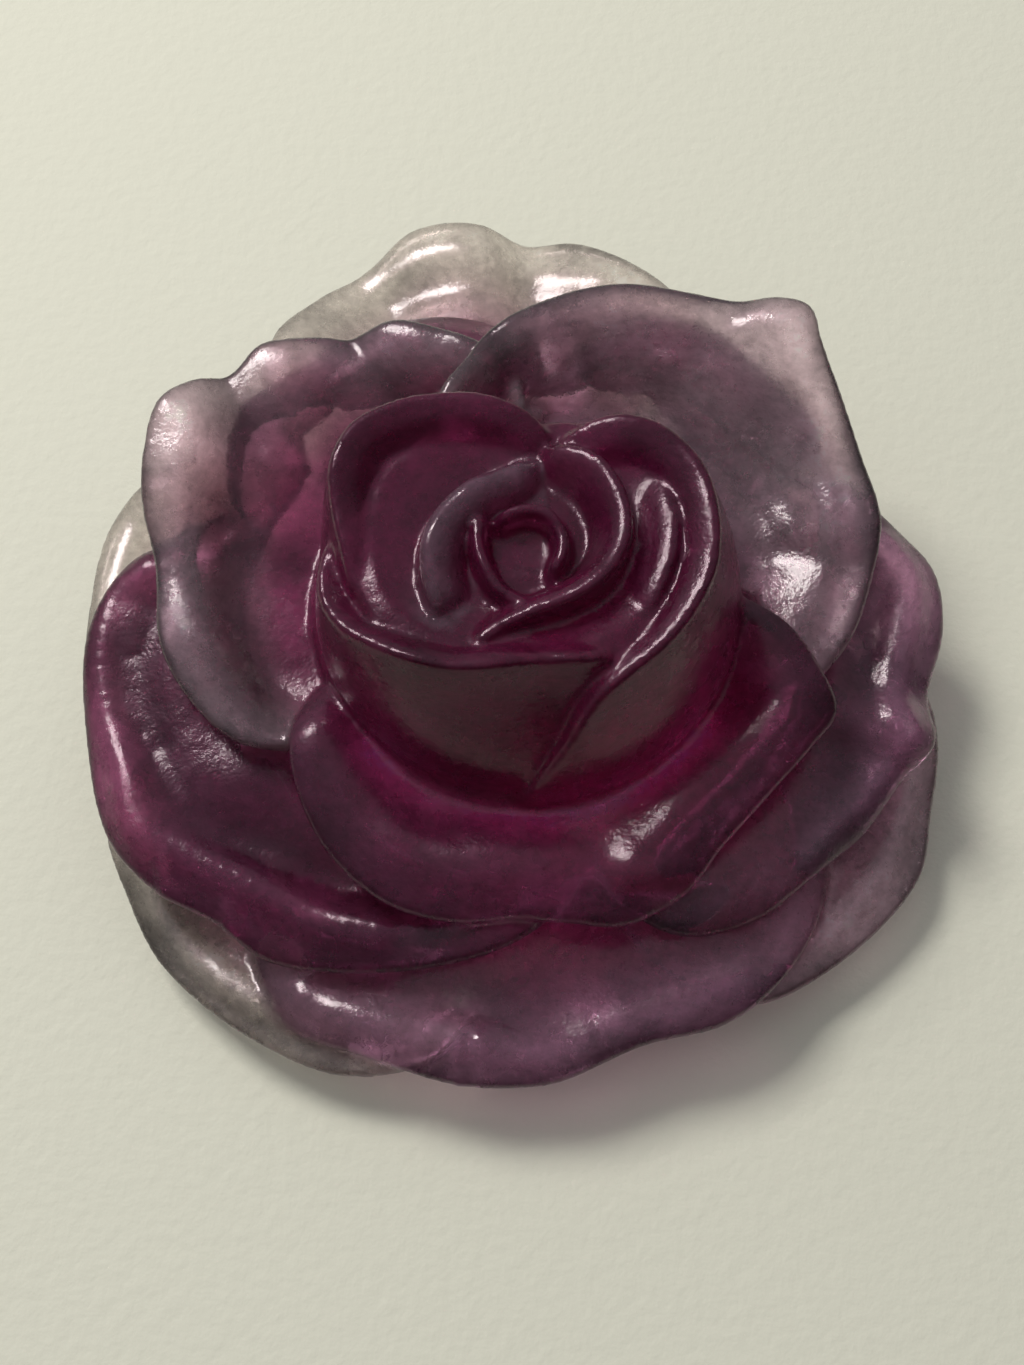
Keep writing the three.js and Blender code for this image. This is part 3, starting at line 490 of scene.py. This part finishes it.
def buildCastSkin():  # the uneven skin of hand-cast glass: broad waves and small ripples along the normals
    tree = bpy.data.node_groups.new("castSkin", "GeometryNodeTree")
    face = tree.interface
    face.new_socket("Geometry", in_out="INPUT", socket_type="NodeSocketGeometry")
    for name in ("Wave Height", "Wave Size", "Ripple Height", "Ripple Size", "Seed"):
        face.new_socket(name, in_out="INPUT", socket_type="NodeSocketFloat")
    face.new_socket("Material", in_out="INPUT", socket_type="NodeSocketMaterial")
    face.new_socket("Geometry", in_out="OUTPUT", socket_type="NodeSocketGeometry")
    given = addNode(tree, "NodeGroupInput")
    place = addNode(tree, "GeometryNodeInputPosition").outputs["Position"]
    total = None
    for height, size in (("Wave Height", "Wave Size"), ("Ripple Height", "Ripple Size")):
        scale = addNode(tree, "ShaderNodeMath", operation="DIVIDE")
        scale.inputs[0].default_value = 1
        link(tree, given.outputs[size], scale.inputs[1])
        noise = addNode(tree, "ShaderNodeTexNoise", noise_dimensions="4D")
        noise.inputs["Detail"].default_value = 2
        link(tree, place, noise.inputs["Vector"])
        link(tree, given.outputs["Seed"], noise.inputs["W"])
        link(tree, scale.outputs["Value"], noise.inputs["Scale"])
        centred = addNode(tree, "ShaderNodeMath", operation="SUBTRACT")
        centred.inputs[1].default_value = 0.5
        link(tree, noise.outputs["Fac"], centred.inputs[0])
        rise = addNode(tree, "ShaderNodeMath", operation="MULTIPLY")
        link(tree, centred.outputs["Value"], rise.inputs[0])
        link(tree, given.outputs[height], rise.inputs[1])
        if total:
            both = addNode(tree, "ShaderNodeMath", operation="ADD")
            link(tree, total, both.inputs[0])
            link(tree, rise.outputs["Value"], both.inputs[1])
            total = both.outputs["Value"]
        else:
            total = rise.outputs["Value"]
    push = addNode(tree, "ShaderNodeVectorMath", operation="SCALE")
    link(tree, addNode(tree, "GeometryNodeInputNormal").outputs["Normal"], push.inputs[0])
    link(tree, total, push.inputs["Scale"])
    move = addNode(tree, "GeometryNodeSetPosition")
    link(tree, given.outputs["Geometry"], move.inputs["Geometry"])
    link(tree, push.outputs["Vector"], move.inputs["Offset"])
    whole = addNode(tree, "GeometryNodeRealizeInstances")
    link(tree, move.outputs["Geometry"], whole.inputs["Geometry"])
    finish = addNode(tree, "GeometryNodeSetMaterial")
    link(tree, whole.outputs["Geometry"], finish.inputs["Geometry"])
    link(tree, given.outputs["Material"], finish.inputs["Material"])
    link(tree, finish.outputs["Geometry"], addNode(tree, "NodeGroupOutput").inputs["Geometry"])
    return tree


def roughen(piece, material):
    skin = piece.modifiers.new("castSkin", "NODES")
    skin.node_group = buildCastSkin()
    values = {"Wave Height": castSkin["waveHeight"] * mm, "Wave Size": castSkin["waveSize"] * mm,
              "Ripple Height": castSkin["rippleHeight"] * mm, "Ripple Size": castSkin["rippleSize"] * mm,
              "Seed": castSkin["seed"], "Material": material}
    for item in skin.node_group.interface.items_tree:
        if item.in_out == "INPUT" and item.name in values:
            skin[item.identifier] = values[item.name]
    applied(piece)
    print("cast skin on", len(piece.data.polygons), "faces")


def carryColors(piece, points, colors):  # each vertex takes the mean colour of the petal skin nearest to it
    tree = KDTree(len(points))
    for i, point in enumerate(points):
        tree.insert(point, i)
    tree.balance()
    mesh = piece.data
    found = np.empty((len(mesh.vertices), 4), np.float32)
    for vertex in mesh.vertices:
        near = [hit[1] for hit in tree.find_n(vertex.co, casting["colorSpread"])]
        found[vertex.index] = colors[near].mean(0)
    layer = mesh.attributes.new("glassColor", "FLOAT_COLOR", "POINT")
    layer.data.foreach_set("color", found.ravel())


def settle(piece):  # middle of its footprint on the CAD model's, foot on the floor
    mesh = piece.data
    spots = np.empty(len(mesh.vertices) * 3)
    mesh.vertices.foreach_get("co", spots)
    spots = spots.reshape(-1, 3)
    low, high = spots.min(0), spots.max(0)
    cadLow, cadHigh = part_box("rose")
    shift = [(cadLow[k] + cadHigh[k] - low[k] - high[k]) / 2 for k in range(2)] + [cadLow[2] - low[2]]
    spots += np.array(shift)
    mesh.vertices.foreach_set("co", spots.ravel())
    mesh.update()
    return shift


glassLook = {
    "roughness": (0.20, 0.36), "ior": 1.32, "transmission": 0.9, "gleam": (0.9, 0.5, 0.72, 1),
    "coat": (0.3, 0.7), "coatRoughness": 0.1, "depthColor": (0.40, 0.02, 0.25, 1), "depthDensity": 28,
    "cloudSize": 11, "cloudAmount": 0.45, "streakSize": 1.4, "streakAmount": 0.3, "streakFlatness": 3,
    "clearest": (0.93, 0.91, 0.89), "satinSize": 3, "coatGreens": (0.04, 0.3),
    "grainSize": 0.4, "grainDepth": 0.03, "pitSize": 1.7, "pitDepth": 0.07,
    "gritSize": 0.55, "gritDepth": 0.16,
}


def noiseOn(tree, coordinates, size, detail=3, roughness=0.55):  # size in millimetres
    noise = addNode(tree, "ShaderNodeTexNoise")
    noise.inputs["Scale"].default_value = 1 / (size * mm)
    noise.inputs["Detail"].default_value = detail
    noise.inputs["Roughness"].default_value = roughness
    link(tree, coordinates, noise.inputs["Vector"])
    return noise.outputs["Fac"]


def ranged(tree, value, low, high, toLow, toHigh):
    node = addNode(tree, "ShaderNodeMapRange")
    for name, number in zip(("From Min", "From Max", "To Min", "To Max"), (low, high, toLow, toHigh)):
        node.inputs[name].default_value = number
    link(tree, value, node.inputs["Value"])
    return node.outputs["Result"]


def bumpOf(tree, height, depth, under=None):  # depth in millimetres
    bump = addNode(tree, "ShaderNodeBump")
    bump.inputs["Distance"].default_value = depth * mm
    link(tree, height, bump.inputs["Height"])
    if under:
        link(tree, under, bump.inputs["Normal"])
    return bump


def purpleGlass():
    material = bpy.data.materials.new("purpleGlass")
    material.use_nodes = True
    tree = material.node_tree
    shader = tree.nodes["Principled BSDF"]
    for name, key in (("IOR", "ior"), ("Transmission Weight", "transmission"), ("Specular Tint", "gleam"),
                      ("Coat Roughness", "coatRoughness")):
        shader.inputs[name].default_value = glassLook[key]
    place = addNode(tree, "ShaderNodeTexCoord").outputs["Object"]
    skin = addNode(tree, "ShaderNodeAttribute", attribute_name="glassColor")

    # clouds in the glass, and finer streaks along its layers
    cloud = noiseOn(tree, place, glassLook["cloudSize"], 4)
    amount = glassLook["cloudAmount"]
    shade = ranged(tree, cloud, 0.3, 0.7, 1 - amount, 1 + amount)
    flat = addNode(tree, "ShaderNodeMapping")
    flat.inputs["Scale"].default_value = (1, 1, glassLook["streakFlatness"])
    link(tree, place, flat.inputs["Vector"])
    streak = noiseOn(tree, flat.outputs["Vector"], glassLook["streakSize"], 6, 0.75)
    amount = glassLook["streakAmount"]
    fine = ranged(tree, streak, 0.35, 0.65, 1 - amount, 1 + amount)
    both = addNode(tree, "ShaderNodeMath", operation="MULTIPLY")
    link(tree, shade, both.inputs[0])
    link(tree, fine, both.inputs[1])
    mottled = addNode(tree, "ShaderNodeVectorMath", operation="SCALE")
    link(tree, skin.outputs["Color"], mottled.inputs[0])
    link(tree, both.outputs["Value"], mottled.inputs["Scale"])
    limit = addNode(tree, "ShaderNodeVectorMath", operation="MINIMUM")
    limit.inputs[1].default_value = glassLook["clearest"]
    link(tree, mottled.outputs["Vector"], limit.inputs[0])
    link(tree, limit.outputs["Vector"], shader.inputs["Base Color"])

    # satin, with a wetter gleam on the paler skins
    satin = noiseOn(tree, place, glassLook["satinSize"], 5, 0.65)
    link(tree, ranged(tree, satin, 0.35, 0.65, *glassLook["roughness"]), shader.inputs["Roughness"])
    bright = addNode(tree, "ShaderNodeSeparateColor")
    link(tree, skin.outputs["Color"], bright.inputs["Color"])
    wet = ranged(tree, bright.outputs["Green"], *glassLook["coatGreens"], *glassLook["coat"])
    link(tree, wet, shader.inputs["Coat Weight"])

    # skin of the mould: fine grain, shallow pits, and glitter where it was gritty
    grain = bumpOf(tree, noiseOn(tree, place, glassLook["grainSize"], 2), glassLook["grainDepth"])
    pits = bumpOf(tree, noiseOn(tree, place, glassLook["pitSize"], 4), glassLook["pitDepth"],
                  grain.outputs["Normal"])
    rough = addNode(tree, "ShaderNodeMath", operation="MULTIPLY")
    link(tree, noiseOn(tree, place, glassLook["gritSize"], 3, 0.7), rough.inputs[0])
    link(tree, skin.outputs["Alpha"], rough.inputs[1])
    grit = bumpOf(tree, rough.outputs["Value"], glassLook["gritDepth"], pits.outputs["Normal"])
    link(tree, grit.outputs["Normal"], shader.inputs["Normal"])
    link(tree, grit.outputs["Normal"], shader.inputs["Coat Normal"])

    # the thicker the glass, the deeper its purple
    depth = addNode(tree, "ShaderNodeVolumeAbsorption")
    depth.inputs["Color"].default_value = glassLook["depthColor"]
    depth.inputs["Density"].default_value = glassLook["depthDensity"]
    link(tree, depth.outputs["Volume"], tree.nodes["Material Output"].inputs["Volume"])
    return material


rose = castRose()
roughen(rose, purpleGlass())
shift = settle(rose)
rose.data.shade_smooth()
print("rose:", len(rose.data.polygons), "faces, moved by", [round(v, 5) for v in shift])

floorLook = {"size": 3.0, "pebbleSize": 1.8, "pebbleDepth": 0.12, "color": (0.70, 0.69, 0.59, 1),
             "roughness": 0.7}


def layFloor():
    half = floorLook["size"] / 2
    floor = addObject("floor", [(-half, -half, 0), (half, -half, 0), (half, half, 0), (-half, half, 0)],
                      [(0, 1, 2, 3)])
    material = bpy.data.materials.new("paleFloor")
    material.use_nodes = True
    shader = material.node_tree.nodes["Principled BSDF"]
    shader.inputs["Base Color"].default_value = floorLook["color"]
    shader.inputs["Roughness"].default_value = floorLook["roughness"]
    tree = material.node_tree
    place = addNode(tree, "ShaderNodeTexCoord").outputs["Object"]
    pebble = bumpOf(tree, noiseOn(tree, place, floorLook["pebbleSize"], 3), floorLook["pebbleDepth"])
    link(tree, pebble.outputs["Normal"], shader.inputs["Normal"])
    floor.data.materials.append(material)
    return floor


floor = layFloor()
print("floor laid")

windowLight = {"from": (-0.42, 0.45, 0.75), "at": (0, 0, 0.015), "size": 0.32, "power": 7.0,
               "color": (1.0, 0.98, 0.92)}


def aim(thing, target):
    thing.rotation_euler = (Vector(target) - thing.location).to_track_quat("-Z", "Y").to_euler()


def hangWindowLight():
    data = bpy.data.lights.new("windowLight", "AREA")
    data.size = windowLight["size"]
    data.energy = windowLight["power"]
    data.color = windowLight["color"]
    light = bpy.data.objects.new("windowLight", data)
    bpy.context.scene.collection.objects.link(light)
    light.location = windowLight["from"]
    aim(light, windowLight["at"])


hangWindowLight()

room = {"above": (0.78, 0.80, 0.82, 1), "behindCamera": (0.13, 0.125, 0.12, 1), "strength": 0.63,
        "brightSide": (-0.25, 0.45, 0.86), "dimUpTo": 0.05, "brightFrom": 0.85}


def lightRoom():  # bright ceiling and far wall, dim on the camera's side
    world = bpy.data.worlds.new("room")
    bpy.context.scene.world = world
    world.use_nodes = True
    tree = world.node_tree
    back = tree.nodes["Background"]
    back.inputs["Strength"].default_value = room["strength"]
    way = addNode(tree, "ShaderNodeVectorMath", operation="DOT_PRODUCT")
    way.inputs[1].default_value = Vector(room["brightSide"]).normalized()
    link(tree, addNode(tree, "ShaderNodeTexCoord").outputs["Generated"], way.inputs[0])
    ramp = addNode(tree, "ShaderNodeValToRGB")
    dim, lit = ramp.color_ramp.elements
    dim.position, dim.color = room["dimUpTo"], room["behindCamera"]
    lit.position, lit.color = room["brightFrom"], room["above"]
    link(tree, way.outputs["Value"], ramp.inputs["Fac"])
    link(tree, ramp.outputs["Color"], back.inputs["Color"])


lightRoom()
print("window light and room lit")

view = {"lens": 44.8, "sensor": 36, "elevation": 68, "distance": 0.190, "target": (-0.0014, -0.0070, 0.015)}


def placeCamera():
    data = bpy.data.cameras.new("camera")
    data.lens = view["lens"]
    data.sensor_width = view["sensor"]
    data.clip_start = 0.01
    camera = bpy.data.objects.new("camera", data)
    bpy.context.scene.collection.objects.link(camera)
    target = Vector(view["target"]) + Vector((shift[0], shift[1], 0))
    up = math.radians(view["elevation"])
    camera.location = target + view["distance"] * Vector((0, -math.cos(up), math.sin(up)))
    aim(camera, target)
    bpy.context.scene.camera = camera


placeCamera()
print("camera placed")

scene = bpy.context.scene
scene.view_settings.view_transform = "Standard"
scene.cycles.max_bounces = 24
scene.cycles.transmission_bounces = 24
scene.cycles.transparent_max_bounces = 16
scene.cycles.use_denoising = True

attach(rose, "root")
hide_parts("rose")
